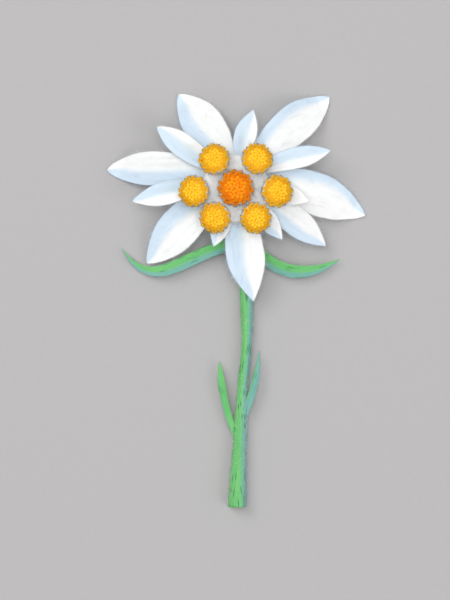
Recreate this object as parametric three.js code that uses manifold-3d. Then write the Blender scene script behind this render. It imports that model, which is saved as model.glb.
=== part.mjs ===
// A cut edelweiss, lying face up on a flat surface.
//
// The stem lies along Y with its cut end at -Y and turns up under the head. The head faces +Z: a star of
// woolly white bracts in an outer and an inner set, round a close cluster of seven flower heads (capitula).
// Each capitulum is a felted cup (the involucre) that holds a dome of yellow disc florets. The outer bracts
// droop, and four of their tips touch the surface. The flower rests on them and on the foot of its stem.
//
// Millimetres, +Z up. While it is drawn, X and Y are counted from the middle of the head. At the end the
// group is moved so that its origin is the bottom centre of its own box.
import * as THREE from "three";
import { mergeVertices } from "three/addons/utils/BufferGeometryUtils.js";
import Module from "manifold-3d";

const wasm = await Module();
wasm.setup();

// ---------------------------------------------------------------- driving dimensions

const CLEARANCE = 0.2; // between two pieces that grow from one another
const SURFACE_SINK = 0.04; // how far a resting tip would dip below the surface before it is flattened
const LANDING = 0.9; // the share of its length at which a resting bract meets the surface; the rest lies flat

// The levels at which the bracts leave the receptacle, at the middle of their thickness.
const OUTER_LOW_Z = 6.5;
const OUTER_HIGH_Z = 7.55;
const INNER_Z = 8.95;

const BRACT_THICK = 0.8; // along the midrib
const BRACT_EDGE_THICK = 0.64;
const OUTER_ROOT_RADIUS = 4.4; // where a bract starts, inside the receptacle's flank
const INNER_ROOT_RADIUS = 4.9;

// Each bract is given by where its root and tip lie round the head. Angles are in degrees from +X to +Y. bow
// bends the midrib to the left of its way out, hook bends its outer part, widest is a share of its length.
// blunt shapes the tip: 1 gives a point, and less a rounder end.
const OUTER_BRACTS = [
  {
    rootAngle: 117, tipAngle: 123.6, reach: 30.6, width: 11.5, widest: 0.57,
    bow: -0.9, hook: 0.7, level: OUTER_LOW_Z, tipZ: 0, blunt: 0.74,
  },
  {
    rootAngle: 36, tipAngle: 42.5, reach: 36.5, width: 11.2, widest: 0.6,
    bow: 1.5, hook: -1.0, level: OUTER_HIGH_Z, tipZ: 0, blunt: 0.74,
  },
  {
    rootAngle: 5, tipAngle: -14.8, reach: 38.7, width: 12.2, widest: 0.58,
    bow: 1.8, hook: -0.9, level: OUTER_LOW_Z, tipZ: 0, blunt: 0.82,
  },
  {
    rootAngle: -26, tipAngle: -36.1, reach: 31.8, width: 8.2, widest: 0.6,
    bow: 0.2, hook: -0.2, level: OUTER_HIGH_Z, tipZ: 3.4, blunt: 0.82,
  },
  {
    rootAngle: -82, tipAngle: -82.2, reach: 35.2, width: 11.0, widest: 0.56,
    bow: -0.7, hook: 0.4, level: OUTER_HIGH_Z, tipZ: 5.5, blunt: 0.95,
  },
  {
    rootAngle: -162, tipAngle: -137.8, reach: 35.5, width: 11.8, widest: 0.57,
    bow: -0.6, hook: 0.8, level: OUTER_LOW_Z, tipZ: 1.2, blunt: 0.8,
  },
  {
    rootAngle: 152, tipAngle: 174.9, reach: 38.0, width: 9.7, widest: 0.62,
    bow: -0.8, hook: 0.1, level: OUTER_HIGH_Z, tipZ: 0, blunt: 0.68,
  },
];
const INNER_BRACTS = [
  {
    rootAngle: 84, tipAngle: 77.0, reach: 20.5, width: 6.3, widest: 0.55,
    bow: 0.4, hook: -0.3, level: INNER_Z, tipZ: 10.8, blunt: 0.92,
  },
  {
    rootAngle: 31, tipAngle: 17.6, reach: 28.1, width: 6.0, widest: 0.62,
    bow: 0.5, hook: -0.3, level: INNER_Z, tipZ: 9.6, blunt: 0.86,
  },
  {
    rootAngle: -16, tipAngle: -16.8, reach: 21.4, width: 5.6, widest: 0.62,
    bow: 0.1, hook: 0.1, level: INNER_Z, tipZ: 10.6, blunt: 0.9,
  },
  {
    rootAngle: -44, tipAngle: -53.0, reach: 21.4, width: 5.6, widest: 0.58,
    bow: -0.5, hook: 0.4, level: INNER_Z, tipZ: 10.0, blunt: 0.9,
  },
  {
    rootAngle: -122, tipAngle: -109.5, reach: 20.2, width: 5.8, widest: 0.58,
    bow: 0.2, hook: 0.2, level: INNER_Z, tipZ: 10.3, blunt: 0.9,
  },
  {
    rootAngle: -178, tipAngle: -168.6, reach: 30.7, width: 6.6, widest: 0.64,
    bow: -0.2, hook: 0.3, level: INNER_Z, tipZ: 9.2, blunt: 0.86,
  },
  {
    rootAngle: 153, tipAngle: 146.6, reach: 27.6, width: 6.8, widest: 0.62,
    bow: 0.2, hook: -0.2, level: INNER_Z, tipZ: 10.2, blunt: 0.8,
  },
];
// The form that the blades of a set share: rootShare is the root's share of the full width, channel is how
// far the margins rise above the midrib, wave is the margins' ripple, arch lifts the middle, and along and
// across count the cells.
const OUTER_SHAPE = {
  rootShare: 0.36, channel: 0.8, wave: 0.16, droopPower: 1.7, arch: 0.7, along: 11, across: 6,
};
const INNER_SHAPE = {
  rootShare: 0.36, channel: 0.45, wave: 0.1, droopPower: 1.5, arch: 0.1, along: 8, across: 4,
};
const TIP_WIDTH = 0.5; // a blade ends in a blunt point

// The stem's middle line and radius, from the cut end to the neck under the head.
const STEM_LINE = [
  { x: 0.0, y: -94.5, z: 2.6, r: 2.75 },
  { x: 0.45, y: -84.0, z: 2.3, r: 2.32 },
  { x: 0.95, y: -74.5, z: 2.25, r: 1.95 },
  { x: 1.2, y: -67.5, z: 2.3, r: 1.75 },
  { x: 1.6, y: -59.7, z: 2.35, r: 1.56 },
  { x: 2.8, y: -47.3, z: 2.35, r: 1.48 },
  { x: 2.8, y: -35.0, z: 2.35, r: 1.95 },
  { x: 2.3, y: -22.0, z: 2.45, r: 2.0 },
  { x: 1.2, y: -11.5, z: 2.5, r: 1.95 },
  { x: 0.35, y: -5.0, z: 2.75, r: 1.95 },
  { x: 0.0, y: -1.1, z: 4.3, r: 2.0 },
  { x: 0.0, y: 0.0, z: 6.6, r: 2.2 },
];
const STEM_SIDES = 12;
const STEM_RINGS = 27;

// Half outlines, [radius, height]: the stem widens into a flank that carries the bracts, and on top of that
// lies the receptacle, a felted cushion for the capitula.
const FLANK_OUTLINE = [
  [0, 4.9], [2.1, 5.0], [4.1, 6.2], [4.7, 7.5], [5.3, 8.9], [5.2, 9.25], [4.6, 9.4], [0, 9.4],
];
const RECEPTACLE_OUTLINE = [
  [0, 9.6], [5.0, 9.65], [9.4, 10.2], [9.9, 10.55], [8.4, 10.95], [4.4, 11.25], [0, 11.3],
];
const RECEPTACLE_CENTRE = { x: -0.4, y: -2.5 };
const TURNED_SIDES = 20;

// The stem's leaves, by root and tip. They are lance-shaped and thin out towards both ends.
const STEM_LEAVES = [
  {
    name: "leaf_lower_left", root: [-0.4, -74.0], tip: [-5.0, -52.3], width: 2.3, widest: 0.68,
    bow: 0.95, hook: 0, rootZ: 2.6, tipZ: 1.9,
  },
  {
    name: "leaf_lower_right", root: [1.4, -69.5], tip: [6.5, -49.1], width: 2.4, widest: 0.45,
    bow: -1.0, hook: 0, rootZ: 2.9, tipZ: 2.5,
  },
  {
    name: "leaf_upper_left", root: [1.2, -17.6], tip: [-33.5, -19.5], width: 3.8, widest: 0.5,
    bow: 2.0, hook: 13.5, rootZ: 2.7, tipZ: 2.2,
  },
  {
    name: "leaf_upper_right", root: [3.0, -16.6], tip: [30.0, -22.6], width: 3.8, widest: 0.5,
    bow: -6.5, hook: 0, rootZ: 2.7, tipZ: 1.6,
  },
];
const LEAF_SHAPE = {
  rootShare: 0.78, channel: 0.3, wave: 0.05, droopPower: 1.3, arch: 0.5, along: 11, across: 4, blunt: 0.85,
};
const LEAF_THICK = 0.85;
const LEAF_EDGE_THICK = 0.65;

// The capitula: one in the middle and six round it. size scales the model below, turn is about its axis.
const CAPITULA = [
  { name: "middle", x: -0.4, y: -2.6, size: 1.16, lean: 0, turn: 0, baseZ: 11.6 },
  { name: "east", x: 10.6, y: -3.4, size: 1.03, lean: 14, turn: 9, baseZ: 11.25 },
  { name: "northeast", x: 5.3, y: 5.2, size: 1.0, lean: 13, turn: 21, baseZ: 11.35 },
  { name: "northwest", x: -6.1, y: 5.1, size: 1.0, lean: 13, turn: 4, baseZ: 11.35 },
  { name: "west", x: -11.6, y: -3.4, size: 1.0, lean: 14, turn: 15, baseZ: 11.2 },
  { name: "southwest", x: -5.9, y: -10.4, size: 1.0, lean: 13, turn: 28, baseZ: 11.35 },
  { name: "southeast", x: 4.9, y: -10.5, size: 1.0, lean: 13, turn: 12, baseZ: 11.35 },
];
const CUP_OUTLINE = [[0, 0], [1.9, 0.1], [3.3, 0.9], [4.0, 2.0], [3.9, 2.95], [0, 3.0]];
const CUP_SIDES = 12;
const SCALE_COUNT = 9; // pointed scales that stand out round the rim of a cup
const SCALE_HEIGHT = 1.5;
const SCALE_RADIUS = 0.7;
const DOME_OUTLINE = [[0, 3.25], [3.6, 3.25], [3.85, 3.6], [2.6, 4.45], [0, 4.85]];
const DOME_SIDES = 12;
const FLORET_RINGS = [
  { count: 12, radius: 3.3, lean: 40, z: 3.5 },
  { count: 6, radius: 1.8, lean: 20, z: 4.0 },
  { count: 1, radius: 0, lean: 0, z: 4.3 },
];
const FLORET_OUTLINE = [[0, 0.1], [0.74, 0.4], [0.6, 1.0], [0, 1.2]];
const FLORET_SIDES = 5;

// ---------------------------------------------------------------- materials

const bractMaterial = new THREE.MeshStandardMaterial({ color: 0xf7fafc, roughness: 0.9, metalness: 0 });
const stemMaterial = new THREE.MeshStandardMaterial({ color: 0x6cbc6c, roughness: 0.65, metalness: 0 });
const leafMaterial = new THREE.MeshStandardMaterial({ color: 0x66b87a, roughness: 0.7, metalness: 0 });
const cupMaterial = new THREE.MeshStandardMaterial({ color: 0xeff3ee, roughness: 0.9, metalness: 0 });
const goldMaterial = new THREE.MeshStandardMaterial({ color: 0xf9c32a, roughness: 0.6, metalness: 0 });
const orangeMaterial = new THREE.MeshStandardMaterial({ color: 0xfb9206, roughness: 0.6, metalness: 0 });

// ---------------------------------------------------------------- small helpers

const radians = THREE.MathUtils.degToRad;
const lerp = THREE.MathUtils.lerp;

function toSolid(geometry) {
  const bare = geometry.clone();
  bare.deleteAttribute("normal");
  bare.deleteAttribute("uv");
  const merged = mergeVertices(bare, 1e-4);
  return new wasm.Manifold(
    new wasm.Mesh({
      numProp: 3,
      vertProperties: new Float32Array(merged.attributes.position.array),
      triVerts: new Uint32Array(merged.index.array),
    }),
  );
}

function toGeometry(solid) {
  const mesh = solid.getMesh();
  const geometry = new THREE.BufferGeometry();
  geometry.setAttribute("position", new THREE.BufferAttribute(mesh.vertProperties, mesh.numProp));
  geometry.setIndex(new THREE.BufferAttribute(mesh.triVerts, 1));
  geometry.computeVertexNormals();
  return geometry;
}

function namedMesh(name, solid, material) {
  const mesh = new THREE.Mesh(toGeometry(solid), material);
  mesh.name = name;
  return mesh;
}

function lathe(outline, sides) {
  const corners = outline.map(([r, z]) => new THREE.Vector2(r, z));
  return new THREE.LatheGeometry(corners, sides).rotateX(Math.PI / 2);
}

// The space under the surface that the flower lies on.
const UNDERGROUND = toSolid(new THREE.BoxGeometry(400, 400, 40).translate(0, 0, -20));

// ---------------------------------------------------------------- blades: bracts and leaves

// The blade's half width at u, from 0 at the root to 1 at the tip.
function halfWidth(blade, u) {
  const full = blade.width / 2;
  const share =
    u <= blade.widest
      ? lerp(blade.rootShare, 1, Math.sin((Math.PI / 2) * (u / blade.widest)))
      : Math.cos((Math.PI / 2) * ((u - blade.widest) / (1 - blade.widest))) ** blade.blunt;
  return Math.max(full * share, TIP_WIDTH / 2);
}

// The midrib at u: its place in plan, and its height.
function midrib(blade, u) {
  const [ax, ay] = blade.root;
  const [bx, by] = blade.tip;
  const length = Math.hypot(bx - ax, by - ay);
  const along = { x: (bx - ax) / length, y: (by - ay) / length };
  const sideways = 4 * u * (1 - u) * (blade.bow + blade.hook * u * u);
  const reached = Math.min(u / blade.landing, 1);
  return {
    x: lerp(ax, bx, u) - along.y * sideways,
    y: lerp(ay, by, u) + along.x * sideways,
    z: lerp(blade.rootZ, blade.tipZ, reached ** blade.droopPower) + blade.arch * Math.sin(Math.PI * reached),
  };
}

// A thin arched blade with a folded midrib and softly waved margins, as a closed geometry.
function bladeGeometry(blade) {
  const positions = [];
  const index = [];
  const row = blade.across + 1;
  const layer = row * (blade.along + 1);
  const step = 1e-3;
  for (const side of [1, -1])
    for (let i = 0; i <= blade.along; i++) {
      const u = i / blade.along;
      const here = midrib(blade, u);
      const ahead = midrib(blade, u + step);
      const behind = midrib(blade, u - step);
      const run = Math.hypot(ahead.x - behind.x, ahead.y - behind.y);
      const left = { x: -(ahead.y - behind.y) / run, y: (ahead.x - behind.x) / run };
      for (let j = 0; j <= blade.across; j++) {
        const v = (2 * j) / blade.across - 1;
        const edge = Math.abs(v);
        const out = halfWidth(blade, u) * v;
        const fold = blade.channel * Math.sin(Math.PI * u) ** 1.5 * edge ** 1.4;
        const wave = blade.wave * edge ** 2 * Math.sin(17 * u + 2.2 * v + blade.phase);
        const thick = lerp(blade.thick, blade.edgeThick, edge ** 2);
        const z = here.z + fold + wave + (side * thick) / 2;
        positions.push(here.x + left.x * out, here.y + left.y * out, z);
      }
    }
  const quad = (a, b, c, d) => index.push(a, b, c, a, c, d);
  const top = (i, j) => i * row + j;
  const under = (i, j) => layer + i * row + j;
  for (let i = 0; i < blade.along; i++) {
    for (let j = 0; j < blade.across; j++) {
      quad(top(i, j), top(i + 1, j), top(i + 1, j + 1), top(i, j + 1));
      index.push(under(i, j), under(i + 1, j + 1), under(i + 1, j));
      index.push(under(i, j), under(i, j + 1), under(i + 1, j + 1));
    }
    quad(under(i, 0), under(i + 1, 0), top(i + 1, 0), top(i, 0));
    const last = blade.across;
    quad(top(i, last), top(i + 1, last), under(i + 1, last), under(i, last));
  }
  for (let j = 0; j < blade.across; j++) {
    quad(under(0, j), top(0, j), top(0, j + 1), under(0, j + 1));
    const end = blade.along;
    quad(under(end, j), under(end, j + 1), top(end, j + 1), top(end, j));
  }
  const geometry = new THREE.BufferGeometry();
  geometry.setAttribute("position", new THREE.Float32BufferAttribute(positions, 3));
  geometry.setIndex(index);
  return geometry;
}

function polar(radius, degrees) {
  return [radius * Math.cos(radians(degrees)), radius * Math.sin(radians(degrees))];
}

function bractSolid(bract, shape, rootRadius, phase, carrier) {
  const resting = bract.tipZ === 0;
  const blade = {
    ...bract,
    ...shape,
    root: polar(rootRadius, bract.rootAngle),
    tip: polar(bract.reach, bract.tipAngle),
    rootZ: bract.level,
    tipZ: resting ? BRACT_THICK / 2 - SURFACE_SINK : bract.tipZ,
    landing: resting ? LANDING : 1,
    thick: BRACT_THICK,
    edgeThick: BRACT_EDGE_THICK,
    phase,
  };
  return toSolid(bladeGeometry(blade)).subtract(carrier).subtract(UNDERGROUND);
}

function leafSolid(leaf, phase, carrier) {
  const blade = {
    ...LEAF_SHAPE,
    ...leaf,
    landing: 1,
    thick: LEAF_THICK,
    edgeThick: LEAF_EDGE_THICK,
    phase,
  };
  return toSolid(bladeGeometry(blade)).subtract(carrier);
}

// ---------------------------------------------------------------- stem and receptacle

// A tube of changing radius along the stem's line. grow makes it thicker all over.
function stemGeometry(grow) {
  const places = STEM_LINE.map((p) => new THREE.Vector3(p.x, p.y, p.z));
  const line = new THREE.CatmullRomCurve3(places, false, "centripetal");
  const widths = STEM_LINE.map((p) => new THREE.Vector3(p.r, 0, 0));
  const radii = new THREE.CatmullRomCurve3(widths, false, "catmullrom");
  const positions = [];
  const index = [];
  const side = new THREE.Vector3(1, 0, 0);
  for (let i = 0; i <= STEM_RINGS; i++) {
    const t = i / STEM_RINGS;
    const centre = line.getPoint(t);
    const along = line.getTangent(t);
    const across = side.clone().addScaledVector(along, -side.dot(along)).normalize();
    const up = new THREE.Vector3().crossVectors(across, along);
    const radius = radii.getPoint(t).x + grow;
    for (let k = 0; k < STEM_SIDES; k++) {
      const angle = (2 * Math.PI * (k + 0.5)) / STEM_SIDES;
      const place = centre.clone();
      place.addScaledVector(across, radius * Math.cos(angle));
      place.addScaledVector(up, radius * Math.sin(angle));
      positions.push(place.x, place.y, place.z);
    }
  }
  const at = (i, k) => i * STEM_SIDES + (k % STEM_SIDES);
  for (let i = 0; i < STEM_RINGS; i++)
    for (let k = 0; k < STEM_SIDES; k++) {
      index.push(at(i, k), at(i + 1, k + 1), at(i, k + 1));
      index.push(at(i, k), at(i + 1, k), at(i + 1, k + 1));
    }
  for (let k = 1; k < STEM_SIDES - 1; k++) {
    index.push(at(0, 0), at(0, k), at(0, k + 1));
    index.push(at(STEM_RINGS, 0), at(STEM_RINGS, k + 1), at(STEM_RINGS, k));
  }
  const geometry = new THREE.BufferGeometry();
  geometry.setAttribute("position", new THREE.Float32BufferAttribute(positions, 3));
  geometry.setIndex(index);
  return geometry;
}

// An outline whose every corner is moved outwards by grow.
function grown(outline, grow) {
  return outline.map(([r, z], i) => {
    const [rBefore, zBefore] = outline[Math.max(i - 1, 0)];
    const [rAfter, zAfter] = outline[Math.min(i + 1, outline.length - 1)];
    const run = Math.hypot(rAfter - rBefore, zAfter - zBefore);
    const moved = [r + ((zAfter - zBefore) / run) * grow, z - ((rAfter - rBefore) / run) * grow];
    return r === 0 ? [0, moved[1]] : moved;
  });
}

function stemSolid(grow = 0) {
  return toSolid(stemGeometry(grow)).add(toSolid(lathe(grown(FLANK_OUTLINE, grow), TURNED_SIDES)));
}

function receptacleSolid(grow = 0) {
  const { x, y } = RECEPTACLE_CENTRE;
  return toSolid(lathe(grown(RECEPTACLE_OUTLINE, grow), TURNED_SIDES).translate(x, y, 0));
}

// ---------------------------------------------------------------- capitula

function cupSolid() {
  let cup = toSolid(lathe(CUP_OUTLINE, CUP_SIDES));
  const [rimRadius, rimZ] = CUP_OUTLINE[3];
  for (let k = 0; k < SCALE_COUNT; k++) {
    const scale = new THREE.ConeGeometry(SCALE_RADIUS, SCALE_HEIGHT, 4)
      .rotateX(Math.PI / 2)
      .scale(0.5, 1, 1)
      .rotateY(0.35)
      .translate(rimRadius, 0, rimZ + 0.35)
      .rotateZ((2 * Math.PI * k) / SCALE_COUNT);
    cup = cup.add(toSolid(scale));
  }
  return cup;
}

function floretSolid() {
  const florets = [toSolid(lathe(DOME_OUTLINE, DOME_SIDES))];
  for (const ring of FLORET_RINGS)
    for (let k = 0; k < ring.count; k++) {
      const floret = lathe(FLORET_OUTLINE, FLORET_SIDES)
        .rotateY(radians(ring.lean))
        .translate(ring.radius, 0, ring.z)
        .rotateZ((2 * Math.PI * (k + ring.radius)) / ring.count);
      florets.push(toSolid(floret));
    }
  return wasm.Manifold.union(florets);
}

// Stands a solid of the model capitulum in its place, leaning away from the middle one.
function placedMesh(name, solid, material, capitulum) {
  const mesh = namedMesh(name, solid, material);
  const outward = Math.atan2(capitulum.y - CAPITULA[0].y, capitulum.x - CAPITULA[0].x);
  const leanAxis = new THREE.Vector3(-Math.sin(outward), Math.cos(outward), 0);
  mesh.quaternion.setFromAxisAngle(leanAxis, radians(capitulum.lean));
  mesh.rotateZ(radians(capitulum.turn));
  mesh.scale.setScalar(capitulum.size);
  mesh.position.set(capitulum.x, capitulum.y, capitulum.baseZ);
  return mesh;
}

// ---------------------------------------------------------------- the flower

const flower = new THREE.Group();
flower.name = "edelweiss";

flower.add(namedMesh("stem", stemSolid().subtract(UNDERGROUND), stemMaterial));
flower.add(namedMesh("receptacle", receptacleSolid(), cupMaterial));
const carrier = stemSolid(CLEARANCE).add(receptacleSolid(CLEARANCE));

OUTER_BRACTS.forEach((bract, k) => {
  const solid = bractSolid(bract, OUTER_SHAPE, OUTER_ROOT_RADIUS, 1.7 * k, carrier);
  flower.add(namedMesh(`bract_outer_${k + 1}`, solid, bractMaterial));
});
INNER_BRACTS.forEach((bract, k) => {
  const solid = bractSolid(bract, INNER_SHAPE, INNER_ROOT_RADIUS, 2.3 * k, carrier);
  flower.add(namedMesh(`bract_inner_${k + 1}`, solid, bractMaterial));
});
STEM_LEAVES.forEach((leaf, k) => {
  flower.add(namedMesh(leaf.name, leafSolid(leaf, 1.1 * k, carrier), leafMaterial));
});

const cup = cupSolid();
const florets = floretSolid();
for (const capitulum of CAPITULA) {
  const yellow = capitulum.name === "middle" ? orangeMaterial : goldMaterial;
  flower.add(placedMesh(`cup_${capitulum.name}`, cup, cupMaterial, capitulum));
  flower.add(placedMesh(`florets_${capitulum.name}`, florets, yellow, capitulum));
}

// Move the origin to the bottom centre of the whole flower's box.
flower.updateMatrixWorld(true);
const box = new THREE.Box3().setFromObject(flower, true);
const centre = box.getCenter(new THREE.Vector3());
flower.position.set(-centre.x, -centre.y, -box.min.z);

export default flower;
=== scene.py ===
"""A cut edelweiss that lies face up: woolly white bracts round yellow and orange heads, on a green stem.

Lengths in the classes are millimetres. In plan they count from the middle of the head, in height from the
surface that the flower lies on. ``placed`` takes such a point to the frame, in metres.
"""

import sys

import logging
import math
import random
from collections.abc import Sequence
from dataclasses import dataclass, field
from enum import Enum

import bmesh
import bpy
from mathutils import Matrix, Vector, noise


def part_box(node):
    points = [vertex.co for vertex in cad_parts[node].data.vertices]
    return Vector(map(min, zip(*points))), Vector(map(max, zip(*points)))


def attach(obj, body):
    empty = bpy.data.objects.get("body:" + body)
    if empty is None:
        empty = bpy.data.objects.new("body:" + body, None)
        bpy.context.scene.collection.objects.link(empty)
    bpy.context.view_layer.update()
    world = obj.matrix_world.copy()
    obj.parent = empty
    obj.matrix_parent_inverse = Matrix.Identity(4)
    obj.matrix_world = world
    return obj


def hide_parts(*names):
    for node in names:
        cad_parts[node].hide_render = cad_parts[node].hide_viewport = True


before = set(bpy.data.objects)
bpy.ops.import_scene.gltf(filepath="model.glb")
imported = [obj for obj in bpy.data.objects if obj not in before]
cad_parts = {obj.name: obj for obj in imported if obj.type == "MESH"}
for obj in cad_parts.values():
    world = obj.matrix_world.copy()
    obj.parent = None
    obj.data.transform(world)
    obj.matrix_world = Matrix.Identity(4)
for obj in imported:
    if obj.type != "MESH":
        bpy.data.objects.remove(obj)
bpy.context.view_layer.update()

LOG = logging.getLogger("edelweiss")
MM = 0.001
BODY = "root"
RECEPTACLE_CENTRE = Vector((-0.4, -2.5, 0.0))
UV_SPAN = 100.0  # millimetres to one unit of a piece's UV map
ONE_POINT = 1e-4  # points nearer to each other than this are merged
LOWEST = 0.02  # how near to the surface a point of the stem or of a hair may come
SUNK = 0.05  # how deep a hair is rooted in its skin
WRAP = 4.0  # radius at which an angle is laid out in the UV map of a round piece
LIT = Vector((0.0, 0.01, 0.0))  # the point, in metres, that the lights look at

BMesh = bmesh.types.BMesh
Material = bpy.types.Material
Colour = tuple[float, float, float]
Pair = tuple[float, float]


class Layer(Enum):
    """The numbers that a mesh carries at its points."""

    # SHADE: the painted blue shade of the bracts and of the hairs, the painted shade of the dome between
    # the florets, and the florets' random tone
    SHADE = "shade"
    # BARE: tissue that shows through the felt, the brown tips of the cups' scales, the share of the
    # radius at the cut end, and the florets' painted shade
    BARE = "bare"
    # FLANK: the painted blue-green shade on the shaded side of the stem and of the leaves
    FLANK = "flank"
    THICK = "thick"


def middle_of_head() -> Vector:
    """Where the middle of the head stands in the frame, in millimetres.

    Returns:
        The point from which the sizes in this file count, on the surface.
    """
    low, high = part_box("receptacle")
    centre = (low + high) / (2 * MM) - RECEPTACLE_CENTRE
    return Vector((centre.x, centre.y, 0.0))


HEAD = middle_of_head()


def placed(point: Vector) -> Vector:
    """Takes a point in millimetres round the head to the frame, in metres."""
    return (point + HEAD) * MM


def mixed(first: float, second: float, share: float) -> float:
    """A number between two others, at that share of the way."""
    return first + (second - first) * share


def eased(low: float, high: float, value: float) -> float:
    """A soft step from 0 at low to 1 at high."""
    share = min(max((value - low) / (high - low), 0.0), 1.0)
    return share * share * (3 - 2 * share)


def polar(radius: float, degrees: float) -> Pair:
    """A point in plan at that distance and direction from the middle of the head."""
    return radius * math.cos(math.radians(degrees)), radius * math.sin(math.radians(degrees))


def radial(radius: float, angle: float, height: float = 0.0) -> Vector:
    """A point at that radius, angle in radians and height round an upright axis."""
    return Vector((radius * math.cos(angle), radius * math.sin(angle), height))


def tangent(angle: float) -> Vector:
    """The level direction a quarter turn to the left of that angle in radians."""
    return Vector((-math.sin(angle), math.cos(angle), 0.0))


# ----shader maths


class Term:
    """A shader socket that can be added, subtracted and multiplied like a number."""

    def __init__(self, graph: "Graph", socket: bpy.types.NodeSocket) -> None:
        """Wraps a socket of a graph's node."""
        self.graph = graph
        self.socket = socket

    def __add__(self, other: "Value") -> "Term":
        """This plus a value."""
        return self.graph.math("ADD", self, other)

    def __sub__(self, other: "Value") -> "Term":
        """This minus a value."""
        return self.graph.math("SUBTRACT", self, other)

    def __rsub__(self, other: "Value") -> "Term":
        """A value minus this."""
        return self.graph.math("SUBTRACT", other, self)

    def __mul__(self, other: "Value") -> "Term":
        """This times a value."""
        return self.graph.math("MULTIPLY", self, other)

    __radd__ = __add__
    __rmul__ = __mul__

    def step(self, low: float, high: float) -> "Term":
        """A soft step from 0 at low to 1 at high."""
        settings = {"interpolation_type": "SMOOTHSTEP"}
        return self.graph.term("ShaderNodeMapRange", settings, {0: self, 1: low, 2: high})


Value = Term | float | tuple[float, ...]


class Graph:
    """The nodes of one material, round a Principled shader."""

    def __init__(self, name: str, **skin: float) -> None:
        """Starts a material.

        Args:
            name: The material's name.
            skin: Constants for the shader's sockets, with _ for a space in their names.
        """
        self.material = bpy.data.materials.new(name)
        self.material.use_nodes = True
        self.tree = self.material.node_tree
        self.tree.nodes.clear()
        self.shader = self.node("ShaderNodeBsdfPrincipled")
        self.node("ShaderNodeOutputMaterial", {}, {"Surface": Term(self, self.shader.outputs[0])})
        for socket, value in skin.items():
            self.feed(socket.replace("_", " "), value)

    def node(
        self, kind: str, settings: dict[str, object] | None = None, inputs: dict | None = None
    ) -> bpy.types.Node:
        """Adds a node.

        Args:
            kind: The node's type name.
            settings: Its properties, which are set first. "stops" gives a ramp's stops.
            inputs: The values or links of its sockets, by name or number.

        Returns:
            The new node.
        """
        made = self.tree.nodes.new(kind)
        for key, value in (settings or {}).items():
            if key == "stops":
                self._set_stops(made.color_ramp, value)
            else:
                setattr(made, key, value)
        for key, value in (inputs or {}).items():
            self._set(made.inputs[key], value)
        return made

    def term(
        self,
        kind: str,
        settings: dict[str, object] | None = None,
        inputs: dict | None = None,
        output: int | str = 0,
    ) -> Term:
        """Adds a node as ``node`` does, and gives its output of that number or name."""
        return Term(self, self.node(kind, settings, inputs).outputs[output])

    @staticmethod
    def _set_stops(ramp: bpy.types.ColorRamp, stops: Sequence[tuple[float, Colour]]) -> None:
        """Gives a ramp its stops.

        Args:
            ramp: The ramp.
            stops: The position and colour of each.
        """
        while len(ramp.elements) < len(stops):
            ramp.elements.new(1.0)
        for element, (position, colour) in zip(ramp.elements, stops):
            element.position = position
            element.color = (*colour, 1.0)

    def _set(self, socket: bpy.types.NodeSocket, value: Value) -> None:
        """Links a term to a socket, or sets the socket's own value.

        Args:
            socket: The socket.
            value: The term or the value.
        """
        if isinstance(value, Term):
            self.tree.links.new(value.socket, socket)
        elif isinstance(value, tuple) and len(socket.default_value) == 4:
            socket.default_value = (*value[:3], 1.0)
        else:
            socket.default_value = value

    def feed(self, socket: str, value: Value) -> None:
        """Gives one of the shader's sockets its value or link."""
        self._set(self.shader.inputs[socket], value)

    def math(self, operation: str, *values: Value) -> Term:
        """A Math node on one or more values."""
        return self.term("ShaderNodeMath", {"operation": operation}, dict(enumerate(values)))

    def mix(self, share: Value, first: Value, second: Value) -> Term:
        """A colour between two others."""
        inputs = {0: share, 6: first, 7: second}
        return self.term("ShaderNodeMix", {"data_type": "RGBA"}, inputs, 2)

    def uv(self, along: float, across: float) -> Term:
        """The piece's UV map.

        Args:
            along: Units to a millimetre along the piece.
            across: Units to a millimetre across it.

        Returns:
            The place on the map.
        """
        source = self.term("ShaderNodeUVMap", {"uv_map": "UVMap"})
        scale = (along * UV_SPAN, across * UV_SPAN, 1.0)
        return self.term("ShaderNodeVectorMath", {"operation": "MULTIPLY"}, {0: source, 1: scale})

    def place(self) -> Term:
        """The point's place on the object."""
        return self.term("ShaderNodeTexCoord", output="Object")

    def attribute(self, layer: Layer) -> Term:
        """A number that the mesh carries at each point."""
        return self.term("ShaderNodeAttribute", {"attribute_name": layer.value}, output="Fac")

    def noise(
        self, where: Term, scale: float = 1.0, detail: float = 3.0, rough: float = 0.55
    ) -> Term:
        """Noise at a place, from 0 to 1."""
        inputs = {"Vector": where, "Scale": scale, "Detail": detail, "Roughness": rough}
        return self.term("ShaderNodeTexNoise", {}, inputs)

    def finished(
        self,
        colour: Term,
        rough: Value,
        height: Term | None = None,
        distance: float = 0.0,
        strength: float = 0.6,
    ) -> Material:
        """Gives the shader what changes over the surface.

        Args:
            colour: The base colour.
            rough: The roughness.
            height: What raises the surface, if anything does.
            distance: How far a height of 1 raises it, in metres.
            strength: How strongly that shows.

        Returns:
            The material.
        """
        self.feed("Base Color", colour)
        self.feed("Roughness", rough)
        if height is not None:
            inputs = {"Height": height, "Distance": distance, "Strength": strength}
            self.feed("Normal", self.term("ShaderNodeBump", {}, inputs))
        return self.material


# ----finishes


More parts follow.
